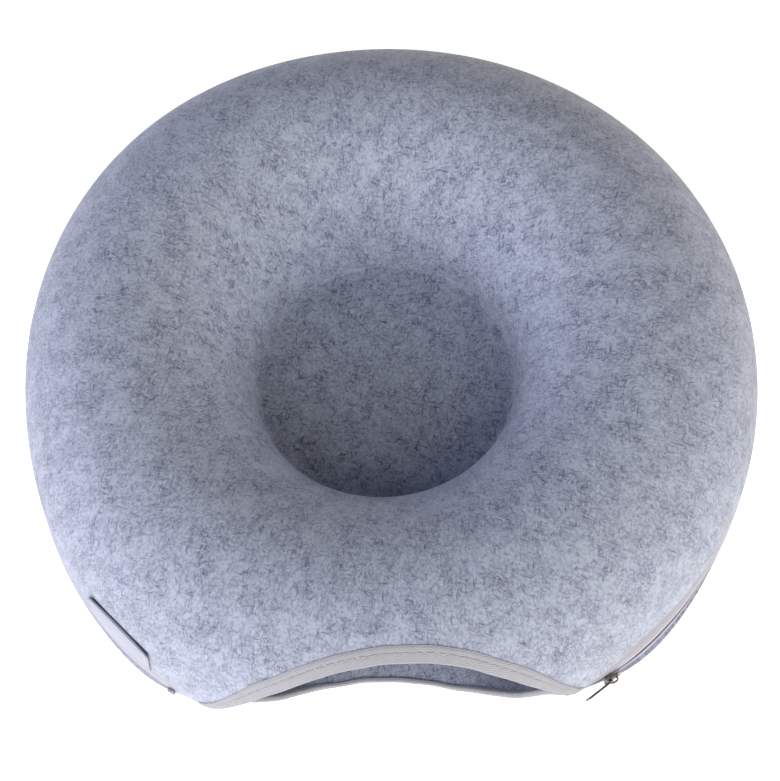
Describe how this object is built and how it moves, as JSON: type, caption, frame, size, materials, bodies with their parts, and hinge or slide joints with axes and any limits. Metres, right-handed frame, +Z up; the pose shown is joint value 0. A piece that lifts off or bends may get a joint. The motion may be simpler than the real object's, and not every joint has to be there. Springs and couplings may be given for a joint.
{
  "type": "cat tunnel bed",
  "caption": "Ring-shaped felt cat tunnel with a bound opening at the front, a zip round its middle and a dish in the centre to lie in.",
  "frame": {"origin": "on the floor, under the middle of the object's box; the ring's axis is 11 mm behind it, towards -Y", "axes": "+Z up along the ring's axis, -Y out through the opening, +X to the right seen from the opening's side"},
  "size_m": [0.4988, 0.4768, 0.2],
  "materials": {
    "felt": "pale blue-grey needle felt with darker and lighter fibres",
    "binding_tape": "off-white twill tape",
    "zip_tape": "lilac-grey woven zip tape",
    "zip_coil": "grey nylon coil",
    "zip_metal": "nickel-plated zinc",
    "label": "pale woven label with a dark border along its top"
  },
  "bodies": {
    "root": {"upper_felt": "felt", "lower_felt": "felt", "binding_upper": "binding_tape", "binding_lower": "binding_tape", "zip_tape_upper": "zip_tape", "zip_tape_lower": "zip_tape", "zip_chain": "zip_coil", "zip_slider": "zip_metal", "zip_pull": "zip_metal", "zip_stop": "zip_tape", "label": "label"}
  },
  "joints": []
}
